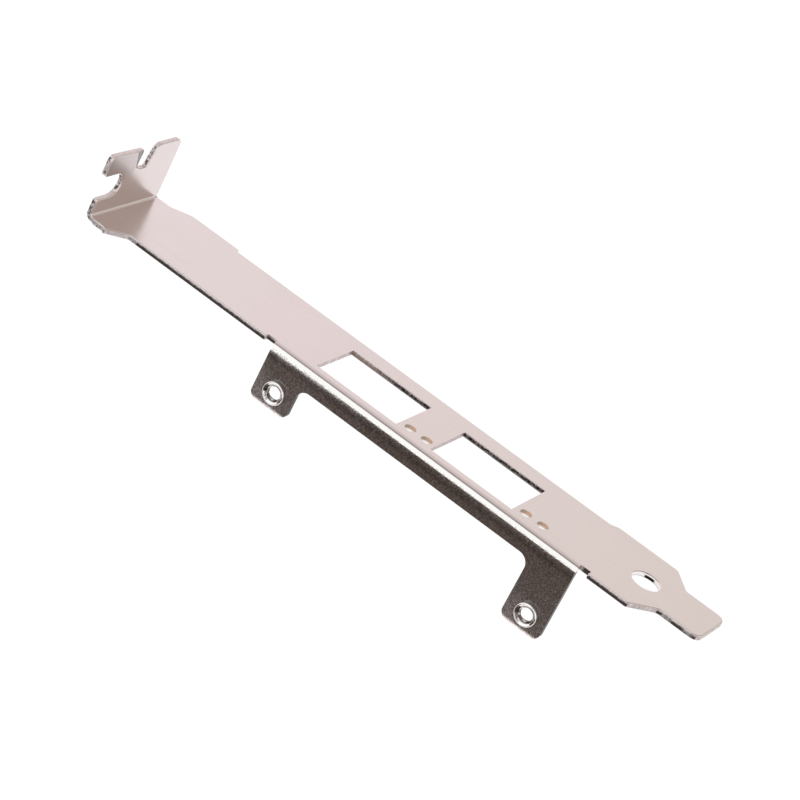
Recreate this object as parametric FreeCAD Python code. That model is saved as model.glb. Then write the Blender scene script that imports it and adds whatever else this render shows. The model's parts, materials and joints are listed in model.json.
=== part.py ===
import FreeCAD, Part
import math
import os

from FreeCAD import Vector

# A full-height expansion-card bracket, stamped and folded from one sheet of plated steel.
# Working axes: X runs from the tab's seat face down the strip to the tongue, Y runs across the
# strip from its flange-side edge, Z is the outward normal of the strip's outer (show) face.
# The finished part is moved so that the retaining screw's centre on the seat face is the origin.

# Sheet, inside radii of its folds, and the roll of its punched edges
sheet = 0.86
flange_bend = 0.25
tab_bend = 0.4
edge_roll = 0.2

# Strip
overall_length = 120.02
strip_width = 18.42
far_inset = 0.82
inset_start = 17.1
inset_start_ramp = 0.4
inset_foot_gap = 13.06
inset_end_ramp = 1.4
inset_round = 0.3

# Head and tab, whose flange side is recessed around the fold
head_straight = 3.05
jog_length = 3.55
head_overhang = 3.0
head_setback = 2.0
head_round = 0.5
shoulder_ramp = 0.45
shoulder_step = 0.5
shoulder_round = 0.3
fold_straight = 0.2
fold_ramp = 0.45
fold_step = 0.35
fold_round = 0.3
near_jog_round = 0.6
far_jog_round = 1.0
tab_depth = 11.43
tab_near_corner = 1.0
tab_far_corner = 1.0

# Screw notch, open to the flange side of the tab
screw_notch = 4.5
screw_across = 0.5
screw_height = 5.2
upper_lip_round = 0.8
lower_lip_round = 0.35

# Guide slot, open to the free end of the tab, with a coined lead-in on its near side
slot_floor = 7.3
slot_floor_near = 5.1
slot_floor_width = 3.45
slot_mouth_width = 3.35
slot_lean = 1.1
slot_near_drop = 0.3
slot_floor_round = 0.4
slot_floor_near_round = 1.2
slot_near_round = 0.7
slot_far_round = 1.3
lead_in_width = 2.6
lead_in_angle = 9.0

# Tongue
tongue_width = 10.1
tongue_near = 4.35
tongue_length = 7.6
taper_length = 3.7
tongue_end_round = 1.5
tongue_root_round = 1.0
taper_round = 0.7
tongue_hole = 4.95
tongue_hole_roll = 0.1
tongue_hole_setback = 12.7

# Port openings and the indicator holes that follow each of them
port_length = 16.3
port_width = 11.6
port_near = 2.0
port_start = 44.63
port_gap = 6.89
port_count = 2
indicator_hole = 2.05
indicator_across = 3.7
indicator_gap = 1.89
indicator_pitch = 3.3
indicator_count = 2

# Board flange, its two screw tabs and the relief notches at its ends
flange_start = 37.25
flange_foot_gap = 9.36
flange_overhang = 0.2
flange_depth = 3.9
tab_width = 7.45
short_tab_depth = 10.26
long_tab_depth = 15.0
tab_root_round = 1.9
short_tab_round = 1.2
long_tab_round = 1.4
relief_width = 1.75
relief_round = 0.3

# Drawn collars for the board screws
collar_diameter = 3.75
collar_height = 0.6
collar_root_flare = 0.1
collar_rim_round = 0.2
core_diameter = 2.85
core_entry_flare = 0.4
collar_above_edge = 3.0
collar_along_tab = 3.95

# Worked out from the sizes above
flange_bend_outside = flange_bend + sheet
tab_bend_outside = tab_bend + sheet
strip_end = overall_length - sheet
head_near = -head_overhang
shoulder_near = head_near - shoulder_step
fold_near = head_near + fold_step
head_far = strip_width - head_setback
jog_end = head_straight + jog_length
inset_edge = strip_width - far_inset
tongue_start = strip_end - tongue_length
taper_start = tongue_start - taper_length
tongue_far = tongue_near + tongue_width
inset_end = taper_start - inset_foot_gap
flange_end = taper_start - flange_foot_gap
flange_face = -flange_overhang
long_tab_start = flange_end - tab_width
short_tab_end = flange_start + tab_width
fold_line = flange_face + flange_bend_outside
port_pitch = port_length + port_gap
roll_radius = min(edge_roll, 0.3 * sheet)


def on_strip(u, v):
    return Vector(u, v, 0)


def on_flange(u, v):
    return Vector(u, 0, v)


def on_tab(u, v):
    return Vector(0, u, v)


def rounded_face(corners, place):
    """Flat face through corners (u, v, radius), each corner an arc of its own radius."""
    arcs = []
    for index, (u, v, radius) in enumerate(corners):
        here = Vector(u, v, 0)
        before = Vector(*corners[index - 1][:2], 0) - here
        after = Vector(*corners[(index + 1) % len(corners)][:2], 0) - here
        half_angle = before.getAngle(after) / 2
        before.normalize()
        after.normalize()
        reach = radius / math.tan(half_angle)
        inward = (before + after).normalize() if radius else Vector()
        middle = here + inward * (radius / math.sin(half_angle) - radius)
        arcs.append((here + before * reach, middle, here + after * reach, radius))
    edges = []
    for index, (start, middle, end, radius) in enumerate(arcs):
        if radius:
            points = [place(point.x, point.y) for point in (start, middle, end)]
            edges.append(Part.Arc(*points).toShape())
        following = arcs[(index + 1) % len(arcs)][0]
        if end.distanceToPoint(following) > 1e-6:
            ends = place(end.x, end.y), place(following.x, following.y)
            edges.append(Part.LineSegment(*ends).toShape())
    return Part.Face(Part.Wire(edges))


def fold_section(inside, flat_reach, place):
    """Cross-section of a right-angle fold: quarter bend of inside radius, then a flat wall to flat_reach.

    The section's u axis runs along the strip's flat and its v axis along the folded wall, both
    measured from the corner where the two faces on the inside of the fold would meet.
    """
    turn = math.sqrt(0.5)
    centre = inside
    inner_middle = centre - inside * turn
    outer_middle = centre - (inside + sheet) * turn
    edges = [
        Part.Arc(place(centre, 0), place(inner_middle, inner_middle), place(0, centre)).toShape(),
        Part.LineSegment(place(0, centre), place(0, flat_reach)).toShape(),
        Part.LineSegment(place(0, flat_reach), place(-sheet, flat_reach)).toShape(),
        Part.LineSegment(place(-sheet, flat_reach), place(-sheet, centre)).toShape(),
        Part.Arc(place(-sheet, centre), place(outer_middle, outer_middle), place(centre, -sheet)).toShape(),
        Part.LineSegment(place(centre, -sheet), place(centre, 0)).toShape(),
    ]
    return Part.Face(Part.Wire(edges))


def strip_blank():
    """Flat strip from the tab's fold to the tongue, recessed to the fold line along the flange."""
    relief_start = flange_start - relief_width
    relief_end = flange_end + relief_width
    outline = rounded_face([
        (tab_bend, fold_near, 0),
        (tab_bend + fold_straight, fold_near, fold_round),
        (tab_bend + fold_straight + fold_ramp, head_near, fold_round),
        (head_straight, head_near, shoulder_round),
        (head_straight + shoulder_ramp, shoulder_near, shoulder_round),
        (jog_end, 0, near_jog_round),
        (relief_start, 0, relief_round),
        (relief_start, fold_line, 0),
        (relief_end, fold_line, 0),
        (relief_end, 0, relief_round),
        (taper_start, 0, taper_round),
        (tongue_start, tongue_near, tongue_root_round),
        (strip_end, tongue_near, tongue_end_round),
        (strip_end, tongue_far, tongue_end_round),
        (tongue_start, tongue_far, tongue_root_round),
        (taper_start, strip_width, taper_round),
        (inset_end + inset_end_ramp, strip_width, inset_round),
        (inset_end, inset_edge, inset_round),
        (inset_start, inset_edge, inset_round),
        (inset_start - inset_start_ramp, strip_width, inset_round),
        (jog_end, strip_width, far_jog_round),
        (head_straight, head_far, head_round),
        (tab_bend, head_far, 0),
    ], on_strip)
    return outline.extrude(Vector(0, 0, -sheet))


def top_tab():
    """Tab folded to the outer side at the head, with its screw notch and guide slot."""
    section = fold_section(tab_bend, tab_depth, lambda u, v: Vector(u, shoulder_near, v))
    tab = section.extrude(Vector(0, head_far - shoulder_near, 0))
    notch_radius = screw_notch / 2
    low_wall = screw_height - notch_radius
    high_wall = screw_height + notch_radius
    notch_end = screw_across + notch_radius
    mouth_near = slot_floor_near + slot_lean
    mouth_far = mouth_near + slot_mouth_width
    below = -tab_bend_outside
    outline = rounded_face([
        (fold_near, below, 0),
        (head_far, below, 0),
        (head_far, tab_depth, tab_far_corner),
        (mouth_far, tab_depth, slot_far_round),
        (slot_floor_near + slot_floor_width, slot_floor, slot_floor_round),
        (slot_floor_near, slot_floor, slot_floor_near_round),
        (mouth_near, tab_depth - slot_near_drop, slot_near_round),
        (shoulder_near, tab_depth, tab_near_corner),
        (shoulder_near, high_wall, upper_lip_round),
        (notch_end, high_wall, notch_radius),
        (notch_end, low_wall, notch_radius),
        (fold_near, low_wall, lower_lip_round),
    ], on_tab)
    outline.translate(Vector(-tab_bend_outside, 0, 0))
    return tab.common(outline.extrude(Vector(2 * tab_bend_outside, 0, 0)))


def slot_lead_in():
    """Shallow wedge that coins the seat face beside the slot, deepest at the slot's edge."""
    foot = Vector(0, slot_floor_near, slot_floor + slot_floor_round)
    top = Vector(0, slot_floor_near + slot_lean - lead_in_width, tab_depth)
    along = (top - foot).normalize()
    toward_slot = along.cross(Vector(1, 0, 0))
    width = lead_in_width + slot_floor_width / 4
    depth = Vector(-width * math.tan(math.radians(lead_in_angle)), 0, 0)
    reach = toward_slot * width
    wedge = Part.Face(Part.makePolygon([foot, foot + reach, foot + reach + depth, foot]))
    return wedge.extrude(along * (2 * tab_depth))


def board_flange():
    """Flange folded to the inner side along the strip's near edge, with a screw tab at each end."""
    inside = flange_face + sheet
    section = fold_section(
        flange_bend, long_tab_depth - sheet, lambda u, v: Vector(flange_start, inside + u, -sheet - v))
    flange = section.extrude(Vector(flange_end - flange_start, 0, 0))
    outline = rounded_face([
        (flange_start, sheet, 0),
        (flange_end, sheet, 0),
        (flange_end, -long_tab_depth, long_tab_round),
        (long_tab_start, -long_tab_depth, long_tab_round),
        (long_tab_start, -flange_depth, tab_root_round),
        (short_tab_end, -flange_depth, tab_root_round),
        (short_tab_end, -short_tab_depth, short_tab_round),
        (flange_start, -short_tab_depth, short_tab_round),
    ], on_flange)
    outline.translate(Vector(0, flange_face - sheet, 0))
    return flange.common(outline.extrude(Vector(0, 4 * flange_bend_outside, 0)))


def port_cuts():
    """Rectangular port openings, punched from the inner side, so their show-side edges stay sharp."""
    cuts = []
    for port in range(port_count):
        start = port_start + port * port_pitch
        cuts.append(Part.makeBox(port_length, port_width, 3 * sheet, Vector(start, port_near, -2 * sheet)))
    return cuts


def is_rolled_face(face):
    """True for the faces that the punch rolled over at their edges: outer strip, tab fold and seat."""
    surface = face.Surface
    middle = face.CenterOfMass
    if isinstance(surface, Part.Plane):
        normal = face.normalAt(0, 0)
        on_outer_strip = abs(middle.z) < 1e-6 and normal.z > 0.999
        on_seat = normal.x > 0.9 and abs(middle.x) < sheet / 2 and middle.z > tab_bend
        return on_outer_strip or on_seat
    in_tab_fold = surface.Center.isEqual(Vector(tab_bend, surface.Center.y, tab_bend), 1e-6)
    return in_tab_fold and surface.Radius < sheet


def on_fold_line(edge):
    """True along the flange's fold and the torn floors of its relief notches, which have no roll."""
    return abs(edge.CenterOfMass.y - fold_line) < 1e-6 and edge.BoundBox.YLength < 1e-6


def rolled_edges(solid):
    """Edges where a rolled face meets a punched wall."""
    seen = {}
    for face in solid.Faces:
        if is_rolled_face(face):
            for edge in face.Edges:
                seen.setdefault(edge.hashCode(), []).append(edge)
    return [edges[0] for edges in seen.values() if len(edges) == 1 and not on_fold_line(edges[0])]


def turned(profile):
    """Solid turned about the Z axis from a closed chain of (radius, height) points."""
    points = [Vector(radius, 0, height) for radius, height in profile]
    outline = Part.makePolygon(points + points[:1])
    return Part.Face(outline).revolve(Vector(), Vector(0, 0, 1), 360)


def flared_hole(diameter, flare, depth):
    """Cutter for a round hole down the Z axis, its mouth at height 0 flared where the punch entered."""
    radius = diameter / 2
    mouth = radius + flare
    return turned([
        (0, -depth),
        (radius, -depth),
        (radius, -flare),
        (mouth, 0),
        (mouth, depth),
        (0, depth),
    ])


def tongue_hole_cut():
    """Round hole above the tongue, rolled over on the show side."""
    cutter = flared_hole(tongue_hole, tongue_hole_roll, 2 * sheet)
    cutter.translate(Vector(strip_end - tongue_hole_setback, strip_width / 2, 0))
    return cutter


def indicator_cuts():
    """Indicator holes after each port, punched from the inner side like the ports."""
    cuts = []
    for port in range(port_count):
        first = port_start + port * port_pitch + port_length + indicator_gap
        for indicator in range(indicator_count):
            foot = Vector(first + indicator * indicator_pitch, indicator_across, -2 * sheet)
            cuts.append(Part.makeCylinder(indicator_hole / 2, 3 * sheet, foot))
    return cuts


def collar(spot):
    """Collar drawn out of the flange, with a flared root and a rounded rim."""
    radius = collar_diameter / 2
    root = radius + collar_root_flare
    rim = radius - collar_rim_round
    shoulder = collar_height - collar_rim_round
    rim_slack = collar_rim_round * (1 - math.sqrt(0.5))
    buried = -sheet / 2
    ring = turned([
        (0, buried),
        (root, buried),
        (root, 0),
        (radius, collar_root_flare),
        (radius, shoulder),
        (radius - rim_slack, collar_height - rim_slack),
        (rim, collar_height),
        (0, collar_height),
    ])
    x, z = spot
    ring.rotate(Vector(), Vector(1, 0, 0), 90)
    ring.translate(Vector(x, flange_face, z))
    return ring


def core_hole(spot):
    """Thread's core hole through a collar, flared on the board side and at the collar's rim."""
    middle = (sheet + collar_height) / 2
    x, z = spot
    entry = flared_hole(core_diameter, core_entry_flare, middle)
    entry.rotate(Vector(), Vector(1, 0, 0), -90)
    entry.translate(Vector(x, flange_face + sheet, z))
    mouth = flared_hole(core_diameter, collar_rim_round, middle)
    mouth.rotate(Vector(), Vector(1, 0, 0), 90)
    mouth.translate(Vector(x, flange_face - collar_height, z))
    return entry.fuse(mouth).removeSplitter()


collar_spots = [
    (flange_start + collar_along_tab, collar_above_edge - short_tab_depth),
    (long_tab_start + collar_along_tab, collar_above_edge - long_tab_depth),
]

bracket = strip_blank().fuse([top_tab(), board_flange()]).removeSplitter()
bracket = bracket.makeFillet(roll_radius, rolled_edges(bracket))
bracket = bracket.cut(port_cuts() + indicator_cuts() + [tongue_hole_cut(), slot_lead_in()])
bracket = bracket.fuse([collar(spot) for spot in collar_spots])
bracket = bracket.cut([core_hole(spot) for spot in collar_spots]).removeSplitter()
bracket = bracket.Solids[0]
bracket.translate(Vector(0, -screw_across, -screw_height))

os.makedirs("parts", exist_ok=True)
bracket.exportStep("parts/bracket.step")
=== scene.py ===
import json
import math

import bpy
from mathutils import Matrix, Vector


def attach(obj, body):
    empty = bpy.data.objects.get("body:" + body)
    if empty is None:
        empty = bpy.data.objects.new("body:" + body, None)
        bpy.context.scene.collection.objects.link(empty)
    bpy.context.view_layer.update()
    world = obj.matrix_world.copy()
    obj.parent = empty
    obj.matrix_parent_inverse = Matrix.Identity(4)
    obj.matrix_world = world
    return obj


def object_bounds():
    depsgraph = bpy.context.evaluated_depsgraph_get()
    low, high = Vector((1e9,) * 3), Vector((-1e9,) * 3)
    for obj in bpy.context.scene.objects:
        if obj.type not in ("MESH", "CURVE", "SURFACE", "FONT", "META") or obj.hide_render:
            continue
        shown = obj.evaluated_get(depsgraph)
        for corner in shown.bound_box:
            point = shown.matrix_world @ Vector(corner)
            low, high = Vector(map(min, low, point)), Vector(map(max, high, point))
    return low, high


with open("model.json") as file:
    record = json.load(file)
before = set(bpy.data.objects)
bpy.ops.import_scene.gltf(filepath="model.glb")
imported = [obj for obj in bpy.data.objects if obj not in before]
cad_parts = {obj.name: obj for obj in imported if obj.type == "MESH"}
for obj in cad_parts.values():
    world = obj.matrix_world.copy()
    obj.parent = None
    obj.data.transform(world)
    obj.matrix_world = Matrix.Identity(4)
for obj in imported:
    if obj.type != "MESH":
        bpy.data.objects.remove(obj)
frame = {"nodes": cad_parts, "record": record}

cad_low, cad_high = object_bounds()
bracket = frame["nodes"]["bracket"]
scene = bpy.context.scene
mm = 0.001

# Camera, in metres and degrees
camera_place = Vector((0.212442, -0.421416, 0.220908))
camera_aim = Vector((0.057107, 0.008753, -0.0052))
camera_roll = 27.194
camera_lens = 144.909
sensor_width = 36.0
clip_start = 0.01
clip_end = 20.0

# Strip and its openings, in millimetres
strip_outer = -5.2
strip_inner = -6.06
wall_slack = 0.02
wall_clear = 0.3
indicator_rows = ((61.7, 67.3), (84.9, 90.5))
indicator_band = (2.0, 4.4)
hole_span = (103.4, 109.5)
hole_band = (5.6, 11.8)
port_far_band = (12.4, 13.2)
ports_span = (43.0, 86.0)
first_port_fade = (45.0, 54.0)
relief_span = (98.55, 100.35)
relief_shade = (98.8, 99.2)
tongue_from = 108.0
port_lip = 0.2
port_lip_curve = 0.9

# Head and its folded tab, in millimetres
head_end = 8.2
head_tab_foot = strip_outer + wall_clear
tab_face_end = 1.0
lobe_crease_heights = (2.3, 6.2)
lobe_crease = (4.6, 3.1)
crease_softness = 0.25
lobe_fade = (0.5, 2.5)
lobe_span = (2.5, -3.5)
lead_in_band = (2.8, 6.0)

# Bend and board flange, in millimetres; tab_feet and tab_lefts are for the short tab, then the long one
flange_ends = (37.2, 98.55)
flange_outer = -0.7
flange_inner = 0.16
flange_top = strip_inner - wall_clear
fold_line = 0.45
bend_foot = -6.31
bend_overlap = 0.15
bend_tail = 0.45
bend_tail_slopes = (0.19, 0.08)
under_bend = 1.1
under_bend_width = 0.8
foot_roll = 0.36
foot_roll_slope = 0.4
left_end_fade = (38.0, 60.0)
low_flange = (-8.0, -17.0)
corner_reach = 6.5
between_tabs = 70.0
tab_feet = (-15.46, -20.2)
tab_lefts = (37.25, 91.05)
tab_wall_spans = ((43.5, 91.0), (97.3, 99.0))

# Threaded collars, in millimetres and degrees, on the axes of the frame's two threaded mounts
mounts = {mount["name"]: mount["pos_m"] for mount in frame["record"]["mounts"]}
collar_mounts = ("short_tab_thread", "long_tab_thread")
collar_places = [(mounts[name][0] / mm, mounts[name][2] / mm) for name in collar_mounts]
lip_outside = 2.0
lip_middle = 1.8
lip_top = -1.47
lip_foot = -1.22
lip_sweep = 120.0
root_flare = 0.1
root_sink = 0.01
root_reach = 2.6
root_rise = 0.012
entry_foot = -0.24
bore_clear = 0.02
thread_root = 1.415
thread_crest = 1.13
thread_pitch = 0.79
thread_sharpness = 1.1
thread_fade = 0.15
thread_start = 200.0
flare_steps = 6
lip_steps = 12
bore_steps = 56
collar_segments = 96

# Limits of the surface normal's parts that tell walls and faces apart
front_facing = -0.8
strip_wall_tilt = 0.4
tab_wall_tilt = 0.3
flange_wall_tilt = 0.3
toward_tongue = 0.3
tab_face_tilt = 0.9
lead_in_tilt = 0.994

# Noises: scales per millimetre, levels of detail and the ranges that are used
ragged_scale = 1.6
patch_scale = 0.55
speckle_scale = 1.9
grain_scale = 3.8
haze_scale = 0.12
rub_scale = 1.6
streak_stretch = (0.06, 2.2, 2.2)
shear_stretch = (4.0, 4.0, 0.7)
plain_detail = 2.0
rough_detail = 3.0
streak_detail = 4.0
middle_noise = (0.3, 0.7)
speckle_limits = (0.45, 0.55)
grain_limits = (0.25, 0.75)
shear_limits = (0.35, 0.65)

# Torn bands on the cut edges, partly their own torn zone and partly painted shade, with painted shade in the
# relief notch and a painted shade patch in the round hole: depths in millimetres; in fours, two values and
# their two amounts
ragged_reach = 0.5
burnish_limits = (0.48, 0.66)
port_burnish_limits = (0.42, 0.52)
port_inner_fade = (0.86, 0.6, 0.35, 1.0)
port_mottle = (0.35, 0.55, 0.7, 1.0)
first_port_dark = (0.35, 1.0)
tongue_mottle = (0.42, 0.56, 0.35, 1.0)
head_dark = 0.75
tab_burnish_limits = (-0.42, -0.6)
tab_mottle = (0.25, 0.95)
patch_start = (-0.3, -0.15)
patch_end = (0.52, 0.44)
patch_depth = (0.3, 0.42)
hole_rim_edges = ((0.16, 0.08), (0.7, 0.78))
indicator_burnish = (0.56, 0.68)
indicator_turn = (0.25, 0.75)
indicator_mottle = (0.5, 0.75, 0.0, 0.4)
copper_depth = (0.3, 0.45)
first_port_copper = (0.75, 0.0)

# Worn edges, with the radius in millimetres
wear_radius = 0.25
wear_samples = 6
wear_limits = (0.995, 0.9)

# Plating colours as linear values, and how strongly they show; sheared steel and torn black are partly
# painted shade, the indicator, thread and collar shades are painted shade, the indicator tint is a painted
# reflection and burnished nickel is partly a painted highlight
nickel = (0.787, 0.694, 0.687)
nickel_worn = (0.84, 0.765, 0.75)
burnish_and_painted_highlight = (0.93, 0.9, 0.89)
nickel_tapped = (0.99, 0.93, 0.92)
sheared_steel_and_shade = (0.048, 0.038, 0.034)
torn_black_and_shade = (0.012, 0.008, 0.006)
# Painted reflection: the orange-brown that the indicator holes' walls bounce among themselves
indicator_bounce_tint = (0.7, 0.48, 0.36)
copper_worn = (0.36, 0.23, 0.16)
indicator_painted_shade = (0.4, 0.36, 0.29)
hole_rim_shade = (0.3, 0.25, 0.22)
thread_painted_shade = (0.12, 0.1, 0.085)
collar_painted_shade = (0.1, 0.085, 0.075)
wear_strength = 0.4
hole_wall_strength = 0.9
hole_rim_strength = 0.6

# Tones added to the nickel's brightness; the lobe, lead-in and under-bend tones are painted shade
streak_tone = (0.985, 1.012)
grain_contrast = 0.5
strip_wall_tone = (-0.42, -0.02)
tab_wall_tone = (-0.15, 0.15)
lobe_painted_shade = (-0.2, -0.3)
lead_in_painted_shade = -0.5
under_bend_painted_shade = -0.36

# Gloss
torn_gloss = 0.12
torn_metal = 0.1
plate_roughness = (0.22, 0.26)
flange_polish = -0.1
low_flange_haze = 0.08
corner_haze = 0.07
left_end_haze = 0.03
bend_polish = -0.09
wall_haze = 0.3
indicator_haze = 0.25
wear_polish = -0.05

# Fine relief, in millimetres
plate_grain_height = 0.0022
flange_grain_height = 0.006
streak_height = 0.0002
bend_grain_height = 0.02
bend_grain_fade = -3.0
shear_height = 0.02

# Looks of the collars, with painted shade in the thread grooves and on two opposite sides of the bore;
# lengths in millimetres
groove_start = 0.08
groove_heights = (0.055, 0.145)
outside_heights = (0.1, 0.2)
outside_metal = 0.2
side_shade_direction = (0.82, 0.57)
side_shade_run = (0.6, 0.92, 0.0, 0.9)
side_shade_edge = (0.06, 0.12)
rub_limits = (0.35, 0.5)
rub_height = 0.001
collar_roughness = (0.08, 0.14)

# Stage, in metres and degrees; angles run from +Y up over the bracket
pivot = Vector((0.0, 0.009, -0.0055))
floor_drop = 0.14
floor_half = 3.0
paper_white = 0.9
paper_glow = 1.1
paper_glow_share = 0.7
card_steps = 24
graded_card = {"radius": 2.0, "angles": (12, 123), "ends": (-2.5, 2.5)}
card_left = (1.005, 0.965, 0.99)
card_middle = (0.876, 0.85, 0.8)
card_right = (0.545, 0.524, 0.465)
card_left_run = (-0.88, -0.27)
card_right_run = (-0.27, 0.62)
card_first_fall = (34, 56)
card_first_level = 0.82
card_second_fall = (84, 108)
card_second_level = 0.46
soft_card = {"radius": 0.45, "angles": (124, 197), "ends": (-0.28, 0.025)}
soft_colour = (1.25, 1.4, 1.38)
# The head flag is a dark card seen only in reflections, standing in for the shade behind the head
head_flag = {"radius": 0.22, "angles": (-34, -16), "ends": (-0.1, 0.04)}
head_flag_colour = (0.05, 0.045, 0.042)
front_flag = {"radius": 0.18, "angles": (198, 230), "ends": (-0.25, 0.45)}
front_flag_colour = (0.075, 0.06, 0.05)


class Graph:
    """Short forms for building one node tree."""

    def __init__(self, tree):
        self.tree = tree
        tree.nodes.clear()

    def feed(self, socket, value):
        if isinstance(value, bpy.types.NodeSocket):
            self.tree.links.new(value, socket)
        else:
            socket.default_value = value

    def add(self, kind, inputs=(), **settings):
        node = self.tree.nodes.new("ShaderNode" + kind)
        for name, value in settings.items():
            setattr(node, name, value)
        for socket, value in dict(inputs).items():
            self.feed(node.inputs[socket], value)
        return node

    def math(self, operation, *values):
        return self.add("Math", enumerate(values), operation=operation).outputs[0]

    def product(self, first, *others):
        for other in others:
            first = self.math("MULTIPLY", first, other)
        return first

    def total(self, first, *others):
        for other in others:
            first = self.math("ADD", first, other)
        return first

    def largest(self, first, *others):
        for other in others:
            first = self.math("MAXIMUM", first, other)
        return first

    def minus(self, first, second):
        return self.math("SUBTRACT", first, second)

    def inverse(self, value):
        return self.minus(1.0, value)

    def above(self, value, limit):
        return self.math("GREATER_THAN", value, limit)

    def below(self, value, limit):
        return self.math("LESS_THAN", value, limit)

    def between(self, value, low, high):
        return self.product(self.above(value, low), self.below(value, high))

    def inside_any(self, value, spans):
        return self.total(*[self.between(value, low, high) for low, high in spans])

    def near_zero(self, value, limit):
        return self.below(self.math("ABSOLUTE", value), limit)

    def distance(self, first, second):
        return self.math("SQRT", self.total(self.product(first, first), self.product(second, second)))

    def scaled(self, value, low, high, start=0.0, end=1.0, shape="LINEAR"):
        inputs = {"Value": value, "From Min": low, "From Max": high, "To Min": start, "To Max": end}
        return self.add("MapRange", inputs, interpolation_type=shape).outputs["Result"]

    def per_tab(self, x, values):
        """The first value on the short tab's half of the bracket, the second on the long tab's."""
        return self.scaled(self.above(x, between_tabs), 0, 1, *values)

    def choose(self, mask, first, second):
        return self.add("Mix", {0: mask, 2: first, 3: second}, data_type="FLOAT").outputs[0]

    def blend(self, factor, first, second):
        node = self.add("Mix", data_type="RGBA")
        for index, value in ((0, factor), (6, first), (7, second)):
            self.feed(node.inputs[index], (*value, 1) if isinstance(value, tuple) else value)
        return node.outputs[2]

    def noise(self, vector, scale, detail=plain_detail):
        inputs = {"Vector": vector, "Scale": scale, "Detail": detail}
        return self.add("TexNoise", inputs).outputs["Fac"]

    def stretched_noise(self, vector, factors, detail=plain_detail):
        stretched = self.add("VectorMath", {0: vector, 1: factors}, operation="MULTIPLY")
        return self.noise(stretched.outputs[0], 1.0, detail)

    def times(self, vector, factor):
        return self.add("VectorMath", {0: vector, "Scale": factor}, operation="SCALE").outputs[0]

    def parts(self, vector):
        return self.add("SeparateXYZ", {0: vector}).outputs

    def collar_offsets(self, x, z):
        """Offsets along X and Z from the nearer collar's axis, and the distance from it."""
        centre_xs, centre_zs = zip(*collar_places)
        out_x = self.minus(x, self.per_tab(x, centre_xs))
        out_z = self.minus(z, self.per_tab(x, centre_zs))
        return out_x, out_z, self.distance(out_x, out_z)

    def bump(self, height):
        return self.add("Bump", {"Strength": 1.0, "Distance": mm, "Height": height}).outputs[0]

    def finish(self, shader):
        self.add("OutputMaterial", {"Surface": shader.outputs[0]})


def new_material(name, kind=Graph):
    material = bpy.data.materials.new(name)
    material.use_nodes = True
    return material, kind(material.node_tree)


def link_object(name, data):
    obj = bpy.data.objects.new(name, data)
    scene.collection.objects.link(obj)
    return obj


def add_camera():
    data = bpy.data.cameras.new("camera")
    data.lens = camera_lens
    data.sensor_width = sensor_width
    data.clip_start = clip_start
    data.clip_end = clip_end
    camera = link_object("camera", data)
    toward = (camera_aim - camera_place).to_track_quat("-Z", "Y").to_matrix().to_4x4()
    roll = Matrix.Rotation(math.radians(camera_roll), 4, "Z")
    camera.matrix_world = Matrix.Translation(camera_place) @ toward @ roll
    scene.camera = camera


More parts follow.
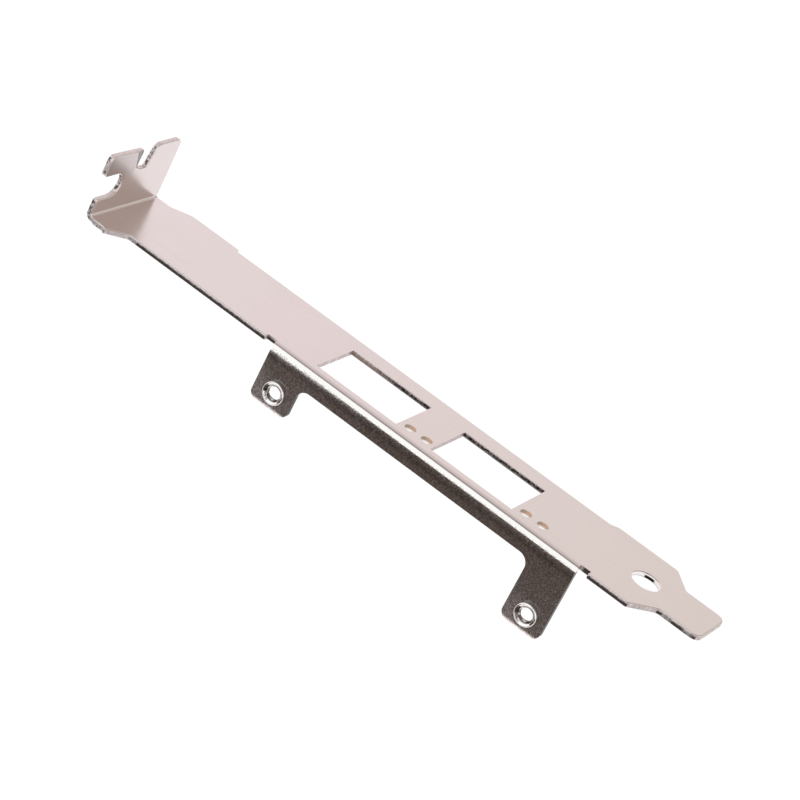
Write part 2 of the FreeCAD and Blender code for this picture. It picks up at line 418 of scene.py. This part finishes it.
class Plating(Graph):
    """Node tree of the plated sheet, with the coordinates, noises and masks that its looks share."""

    def __init__(self, tree):
        super().__init__(tree)
        coordinates = self.add("TexCoord")
        self.spot = self.times(coordinates.outputs["Object"], 1 / mm)
        self.x, self.y, self.z = self.parts(self.spot)
        self.facing_x, self.facing_y, self.facing_z = self.parts(coordinates.outputs["Normal"])
        self.to_front = self.below(self.facing_y, front_facing)
        self.depth = self.minus(strip_outer, self.z)
        self.make_noises()
        self.mask_walls()
        self.mask_flange()
        self.mask_tab_face()
        self.wear = self.worn_edges()
        self.dark = self.math("MINIMUM", 1.0, self.total(
            self.strip_torn_band_and_shade(), self.tab_torn_band_and_shade(), self.flange_wall_painted_shade()))

    def make_noises(self):
        self.ragged = self.noise(self.spot, ragged_scale, rough_detail)
        self.patches = self.noise(self.spot, patch_scale)
        self.speckle = self.scaled(self.noise(self.spot, speckle_scale), *speckle_limits)
        self.grain = self.noise(self.spot, grain_scale)
        self.haze = self.noise(self.spot, haze_scale, rough_detail)
        self.streaks = self.stretched_noise(self.spot, streak_stretch, streak_detail)
        self.shear_lines = self.stretched_noise(self.spot, shear_stretch)

    def mask_walls(self):
        """Cut edges of the strip, without the fold, and of the head's tab, with the openings among them."""
        in_sheet = self.between(self.z, strip_inner - wall_slack, strip_outer)
        cut_edge = self.product(in_sheet, self.near_zero(self.facing_z, strip_wall_tilt))
        in_fold = self.product(self.between(self.x, *flange_ends), self.below(self.y, fold_line))
        self.strip_walls = self.product(cut_edge, self.inverse(in_fold))
        self.tab_walls = self.product(
            self.near_zero(self.facing_x, tab_wall_tilt), self.above(self.z, head_tab_foot),
            self.below(self.x, head_end))
        self.indicator_walls = self.product(
            cut_edge, self.between(self.y, *indicator_band), self.inside_any(self.x, indicator_rows))
        self.walls = self.product(
            self.largest(self.strip_walls, self.tab_walls), self.inverse(self.indicator_walls))
        self.in_round_hole = self.product(
            self.between(self.x, *hole_span), self.between(self.y, *hole_band))
        self.hole_wall = self.product(self.strip_walls, self.in_round_hole)
        self.at_port = self.product(
            self.between(self.y, *port_far_band), self.between(self.x, *ports_span), self.to_front)

    def mask_flange(self):
        """Bend, flange and the collar roots that get painted shade, with distances from the bend's foot and
        the tabs' corners.
        """
        self.below_bend = self.minus(bend_foot, self.z)
        before_fold = self.below(self.y, fold_line)
        self.on_flange = self.product(before_fold, self.above(self.below_bend, -bend_overlap))
        self.on_fold_side = self.product(before_fold, self.between(self.x, *flange_ends))
        self.on_bend = self.product(self.on_fold_side, self.below(self.below_bend, -bend_overlap))
        self.above_foot = self.minus(self.z, self.per_tab(self.x, tab_feet))
        past_left = self.minus(self.x, self.per_tab(self.x, tab_lefts))
        self.from_corner = self.distance(self.above_foot, past_left)
        from_collar = self.collar_offsets(self.x, self.z)[2]
        self.collar_root = self.product(
            self.below(self.y, flange_outer - root_rise), self.below(from_collar, root_reach))

    def mask_tab_face(self):
        """Lobe and lead-in beside the guide slot, on the face of the head's tab, where shade is painted."""
        on_face = self.product(
            self.above(self.facing_x, tab_face_tilt), self.above(self.z, head_tab_foot),
            self.below(self.x, tab_face_end))
        crease = self.scaled(self.z, *lobe_crease_heights, *lobe_crease)
        before_crease = self.scaled(self.minus(crease, self.y), 0.0, crease_softness)
        self.on_lobe = self.product(on_face, before_crease, self.scaled(self.z, *lobe_fade))
        self.lead_in = self.product(
            on_face, self.below(self.facing_x, lead_in_tilt), self.between(self.y, *lead_in_band),
            self.above(self.z, lobe_crease_heights[0]))

    def worn_edges(self):
        """Sharp edges, found where a softened normal leaves the true one."""
        soft_normal = self.add("Bevel", {"Radius": wear_radius * mm}, samples=wear_samples).outputs[0]
        true_normal = self.add("NewGeometry").outputs["Normal"]
        likeness = self.add("VectorMath", {0: soft_normal, 1: true_normal}, operation="DOT_PRODUCT")
        return self.product(
            self.scaled(likeness.outputs["Value"], *wear_limits), self.scaled(self.ragged, *middle_noise))

    def strip_torn_band_and_shade(self):
        """Dark torn band on the strip's walls that face the front, by the place along the strip: partly the
        cut's own torn zone, partly painted shade, with painted shade in the relief notch and a painted shade
        patch on the round hole's wall.
        """
        ragged_depth = self.math("MULTIPLY_ADD", self.ragged, ragged_reach, self.depth)
        torn = self.scaled(ragged_depth, *burnish_limits, shape="SMOOTHSTEP")
        port_torn = self.scaled(ragged_depth, *port_burnish_limits, shape="SMOOTHSTEP")
        port_band = self.product(
            self.scaled(self.depth, *port_inner_fade), self.scaled(self.ragged, *port_mottle),
            self.scaled(self.x, *first_port_fade, *first_port_dark))
        tongue_band = self.scaled(self.patches, *tongue_mottle)
        head_band = self.product(self.speckle, head_dark)
        amount = self.choose(self.at_port, torn, self.product(port_torn, port_band))
        amount = self.choose(
            self.above(self.x, tongue_from), amount, self.product(amount, tongue_band))
        amount = self.choose(self.below(self.x, head_end), amount, self.product(amount, head_band))
        amount = self.choose(
            self.between(self.x, *relief_span), amount, self.scaled(self.x, *relief_shade))
        amount = self.product(self.to_front, amount)
        # Painted shade patch on the round hole's wall
        hole_painted_shade = self.product(
            self.scaled(self.facing_x, *patch_start), self.scaled(self.facing_x, *patch_end),
            self.below(self.facing_y, 0.0), self.scaled(self.depth, *patch_depth))
        return self.product(self.strip_walls, self.choose(self.in_round_hole, amount, hole_painted_shade))

    def tab_torn_band_and_shade(self):
        """Dark torn band on the walls of the head's tab that face the front: partly the cut's own torn zone,
        partly painted shade.
        """
        ragged_depth = self.math("MULTIPLY_ADD", self.ragged, -ragged_reach, self.x)
        torn = self.scaled(ragged_depth, *tab_burnish_limits, shape="SMOOTHSTEP")
        return self.product(
            self.tab_walls, self.to_front, torn, self.scaled(self.speckle, 0.0, 1.0, *tab_mottle))

    def flange_wall_painted_shade(self):
        """Cut edges of the flange that face the tongue's end, darkened as painted shade for the shade they
        would reflect from under the strip.
        """
        return self.product(
            self.near_zero(self.facing_y, flange_wall_tilt), self.below(self.z, flange_top),
            self.above(self.facing_x, toward_tongue), self.inside_any(self.x, tab_wall_spans))

    def tone(self):
        """Brightness of the nickel, from streaks, grain and shear lines, with painted shade under the bend,
        on the tab's lobe and on its lead-in.
        """
        # Painted shade in a band across the flange's front, just under the bend
        to_shade = self.scaled(self.below_bend, under_bend - under_bend_width, under_bend, -1.0, 0.0)
        past_shade = self.scaled(self.below_bend, under_bend, under_bend + under_bend_width, 0.0, -1.0)
        flange_front = self.product(self.on_flange, self.to_front)
        return self.total(
            self.scaled(self.streaks, *middle_noise, *streak_tone),
            self.product(
                flange_front, self.scaled(self.grain, *grain_limits, -grain_contrast, grain_contrast)),
            self.product(
                self.strip_walls, self.inverse(self.in_round_hole),
                self.scaled(self.shear_lines, *shear_limits, *strip_wall_tone)),
            self.product(self.tab_walls, self.scaled(self.shear_lines, *shear_limits, *tab_wall_tone)),
            # Painted shade on the tab's lobe, darker away from the crease, and on the lead-in facet
            self.product(self.on_lobe, self.scaled(self.y, *lobe_span, *lobe_painted_shade)),
            self.product(self.lead_in, lead_in_painted_shade),
            self.product(flange_front, self.total(1.0, to_shade, past_shade), under_bend_painted_shade))

    def indicator_colour(self):
        """Painted reflection in the indicator holes, the orange-brown their walls bounce among themselves,
        with painted shade at one end, over a burnished inner half that is painted near-white as a highlight.
        """
        # Painted shade at one end of each indicator hole, by the wall's facing, mottled by noise
        shaded = self.largest(
            self.scaled(self.facing_x, *indicator_turn), self.scaled(self.ragged, *indicator_mottle))
        bounce_tinted = self.blend(shaded, indicator_bounce_tint, indicator_painted_shade)
        return self.blend(self.scaled(self.depth, *indicator_burnish), bounce_tinted, burnish_and_painted_highlight)

    def colour(self):
        """Nickel in its tones, with wear, hole walls with a painted highlight, torn bands that are partly
        painted shade, the indicator holes' painted reflection, copper in the first port and painted shade on
        the collar roots laid over it.
        """
        colour = self.times(nickel, self.tone())
        colour = self.blend(self.product(self.wear, wear_strength), colour, nickel_worn)
        # Burnished band on the round hole's wall, painted near-white as a highlight, with darker lines at
        # its rims
        colour = self.blend(self.product(self.hole_wall, hole_wall_strength), colour, burnish_and_painted_highlight)
        at_rims = self.total(*[self.scaled(self.depth, *edge) for edge in hole_rim_edges])
        colour = self.blend(
            self.product(self.hole_wall, at_rims, hole_rim_strength), colour, hole_rim_shade)
        # Dark torn bands, partly painted shade, black in the ports and the round hole
        blackened = self.largest(self.at_port, self.in_round_hole)
        colour = self.blend(self.dark, colour, self.blend(blackened, sheared_steel_and_shade, torn_black_and_shade))
        colour = self.blend(self.indicator_walls, colour, self.indicator_colour())
        copper_show = self.product(
            self.at_port, self.walls, self.scaled(self.x, *first_port_fade, *first_port_copper),
            self.scaled(self.depth, *copper_depth))
        colour = self.blend(copper_show, colour, copper_worn)
        # Painted shade over the collars' roots, to match the dark flange around them
        return self.blend(self.collar_root, colour, collar_painted_shade)

    def metallic(self):
        dull = self.largest(self.dark, self.collar_root, self.indicator_walls, self.hole_wall)
        return self.scaled(dull, 0.0, 1.0, 1.0, torn_metal)

    def roughness(self):
        on_flange = self.total(
            flange_polish, self.scaled(self.z, *low_flange, 0.0, low_flange_haze),
            self.scaled(self.from_corner, corner_reach, 0.0, 0.0, corner_haze),
            self.scaled(self.x, *left_end_fade, left_end_haze, 0.0))
        return self.total(
            self.scaled(self.haze, *middle_noise, *plate_roughness),
            self.product(self.on_flange, on_flange),
            self.product(self.on_bend, bend_polish),
            self.product(self.walls, wall_haze),
            self.product(self.indicator_walls, indicator_haze),
            self.product(self.wear, wear_polish))

    def height(self):
        """Fine relief: grain, streaks and shear lines, and the falls at the bend, the feet and the ports."""
        settling = self.math("EXPONENT", self.product(self.below_bend, -1 / bend_tail))
        tail_slope = self.scaled(self.x, *left_end_fade, *bend_tail_slopes)
        dropping = self.math("EXPONENT", self.product(self.above_foot, -1 / foot_roll))
        lip_drop = self.largest(0.0, self.minus(port_lip, self.depth))
        from_bend_foot = self.math("ABSOLUTE", self.below_bend)
        at_bend_foot = self.math("EXPONENT", self.product(from_bend_foot, bend_grain_fade))
        grain_height = self.scaled(self.on_flange, 0, 1, plate_grain_height, flange_grain_height)
        return self.total(
            self.product(self.grain, grain_height),
            self.product(self.streaks, streak_height),
            self.product(self.on_fold_side, at_bend_foot, self.grain, bend_grain_height),
            self.product(self.walls, self.shear_lines, shear_height),
            self.product(self.at_port, self.walls, lip_drop, lip_drop, -port_lip_curve),
            self.product(self.on_flange, settling, tail_slope, -bend_tail),
            self.product(self.on_flange, dropping, -foot_roll * foot_roll_slope))


def plating_material():
    """Satin nickel on steel, with rolling streaks, grain, worn edges and sheared walls, and with painted
    shade, painted highlights and a painted reflection laid into its colour.
    """
    material, graph = new_material("nickel_plate_detail", Plating)
    graph.finish(graph.add("BsdfPrincipled", {
        "Base Color": graph.colour(),
        "Metallic": graph.metallic(),
        "Specular IOR Level": torn_gloss,
        "Roughness": graph.roughness(),
        "Normal": graph.bump(graph.height()),
    }))
    return material


def collar_material():
    """The same nickel on the collars, bright on the lip, with painted shade in the thread grooves, on two
    opposite sides of the bore and down the outside.
    """
    material, graph = new_material("nickel_collar_detail")
    spot = graph.times(graph.add("TexCoord").outputs["Object"], 1 / mm)
    x, height, z = graph.parts(spot)
    out_x, out_z, radius = graph.collar_offsets(x, z)
    under_lip = graph.minus(height, lip_top)
    rub = graph.noise(spot, rub_scale)
    # Painted shade deep in the thread grooves, below the lip
    groove_painted_shade = graph.product(
        graph.scaled(radius, thread_crest + groove_start, thread_root),
        graph.scaled(under_lip, *groove_heights), graph.below(radius, lip_middle))
    # Painted shade down the collar's outside wall, where it would reflect the dark flange
    down_outside = graph.product(
        graph.scaled(under_lip, *outside_heights), graph.above(radius, lip_middle))
    # Painted shade on two opposite sides of the bore, along one fixed direction, broken up by noise
    sideways = graph.math("ABSOLUTE", graph.total(
        graph.product(out_x, side_shade_direction[0]), graph.product(out_z, side_shade_direction[1])))
    side_painted_shade = graph.product(
        graph.scaled(graph.math("DIVIDE", sideways, radius), *side_shade_run, "SMOOTHSTEP"),
        graph.scaled(graph.minus(lip_middle, radius), *side_shade_edge), graph.scaled(rub, *rub_limits))
    colour = graph.blend(graph.largest(groove_painted_shade, side_painted_shade), nickel_tapped, thread_painted_shade)
    graph.finish(graph.add("BsdfPrincipled", {
        "Base Color": graph.blend(down_outside, colour, collar_painted_shade),
        "Metallic": graph.scaled(down_outside, 0.0, 1.0, 1.0, outside_metal),
        "Specular IOR Level": torn_gloss,
        "Roughness": graph.scaled(rub, *middle_noise, *collar_roughness),
        "Normal": graph.bump(graph.product(rub, rub_height)),
    }))
    return material


def collar_profile(turn):
    """Radius and height points of a collar's skin at an angle in turns, from root to board side."""
    points = []
    for step in range(flare_steps + 1):
        angle = math.radians(90) * step / flare_steps
        reach = root_flare * (1 - math.sin(angle))
        drop = root_flare * (1 - math.cos(angle))
        points.append((lip_outside + reach, flange_outer + root_sink - drop))
    for step in range(lip_steps + 1):
        angle = math.radians(lip_sweep) * step / lip_steps
        radius = lip_middle + (lip_outside - lip_middle) * math.cos(angle)
        points.append((radius, lip_foot - (lip_foot - lip_top) * math.sin(angle)))
    mouth = points[-1][1]
    for step in range(1, bore_steps + 1):
        height = mouth + (flange_inner - bore_clear - mouth) * step / bore_steps
        root = thread_root + max(0.0, lip_foot - height) + max(0.0, height - entry_foot)
        fade = min(1.0, max(0.0, (height - mouth) / thread_fade), (flange_inner - height) / thread_fade)
        phase = (height / thread_pitch + turn + thread_start / 360) % 1.0
        ridge = max(0.0, 1 - abs(2 * phase - 1) * thread_sharpness)
        points.append((root - (root - thread_crest) * ridge * fade, height))
    return points


def add_collar(number, place, material):
    """Rounded lip and threaded bore, laid just over one plain drawn collar."""
    corners = []
    for index in range(collar_segments):
        turn = index / collar_segments
        across = math.cos(2 * math.pi * turn)
        up = math.sin(2 * math.pi * turn)
        profile = collar_profile(turn)
        for radius, height in profile:
            corners.append(Vector((place[0] + radius * across, height, place[1] + radius * up)) * mm)
    count = len(profile)
    faces = []
    for index in range(collar_segments):
        here = index * count
        after = (index + 1) % collar_segments * count
        for step in range(count - 1):
            faces.append((here + step, after + step, after + step + 1, here + step + 1))
    mesh = bpy.data.meshes.new(f"collar_{number}")
    mesh.from_pydata(corners, [], faces)
    mesh.polygons.foreach_set("use_smooth", [True] * len(mesh.polygons))
    mesh.materials.append(material)
    collar = link_object(f"collar_{number}", mesh)
    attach(collar, "root")


def white_paper():
    """Floor: mostly its own white, with a diffuse share that keeps the bracket's shadow."""
    material, graph = new_material("stage_white")
    paper = graph.add("BsdfDiffuse", {"Color": (paper_white, paper_white, paper_white, 1)})
    glow = graph.add("Emission", {"Strength": paper_glow})
    graph.finish(graph.add(
        "MixShader", {0: paper_glow_share, 1: paper.outputs[0], 2: glow.outputs[0]}))
    return material


def glowing(name, colour):
    material, graph = new_material(name)
    graph.finish(graph.add("Emission", {"Color": (*colour, 1)}))
    return material


def graded_grey():
    """Card behind and above the bracket, darker overhead and toward the tongue's end."""
    material, graph = new_material("stage_graded")
    x, y, z = graph.parts(graph.add("TexCoord").outputs["Object"])
    angle = graph.math("ARCTAN2", z, y)
    colour = graph.blend(graph.scaled(x, *card_left_run), card_left, card_middle)
    colour = graph.blend(graph.scaled(x, *card_right_run), colour, card_right)
    level = graph.product(
        graph.scaled(angle, *map(math.radians, card_first_fall), 1.0, card_first_level),
        graph.scaled(angle, *map(math.radians, card_second_fall), 1.0, card_second_level))
    graph.finish(graph.add("Emission", {"Color": colour, "Strength": level}))
    return material


def arc_card(name, material, radius, angles, ends):
    """Curved card about the bracket's long axis that is seen in reflections only."""
    corners = []
    for step in range(card_steps + 1):
        angle = math.radians(angles[0] + (angles[1] - angles[0]) * step / card_steps)
        for x in ends:
            corners.append((x, radius * math.cos(angle), radius * math.sin(angle)))
    faces = [(2 * step, 2 * step + 1, 2 * step + 3, 2 * step + 2) for step in range(card_steps)]
    mesh = bpy.data.meshes.new(name)
    mesh.from_pydata(corners, [], faces)
    mesh.materials.append(material)
    card = link_object(name, mesh)
    card.location = pivot
    card.visible_camera = False
    card.visible_diffuse = False
    card.visible_shadow = False


def add_floor():
    low = cad_low.z - floor_drop
    mesh = bpy.data.meshes.new("floor")
    mesh.from_pydata([
        (-floor_half, -floor_half, low),
        (floor_half, -floor_half, low),
        (floor_half, floor_half, low),
        (-floor_half, floor_half, low),
    ], [], [(0, 1, 2, 3)])
    mesh.materials.append(white_paper())
    link_object("floor", mesh)


def add_stage():
    add_floor()
    arc_card("graded_card", graded_grey(), **graded_card)
    arc_card("soft_card", glowing("stage_soft", soft_colour), **soft_card)
    arc_card("head_flag", glowing("stage_head_flag", head_flag_colour), **head_flag)
    arc_card("front_flag", glowing("stage_flag", front_flag_colour), **front_flag)


def add_world():
    world = bpy.data.worlds.new("studio")
    scene.world = world
    world.use_nodes = True
    graph = Graph(world.node_tree)
    back = graph.add("Background", {"Color": (1, 1, 1, 1), "Strength": 1.0})
    graph.add("OutputWorld", {"Surface": back.outputs[0]})


scene.view_settings.view_transform = "Standard"
add_camera()
add_stage()
add_world()
bracket.data.materials[0] = plating_material()
tapped = collar_material()
for number, place in enumerate(collar_places, 1):
    add_collar(number, place, tapped)
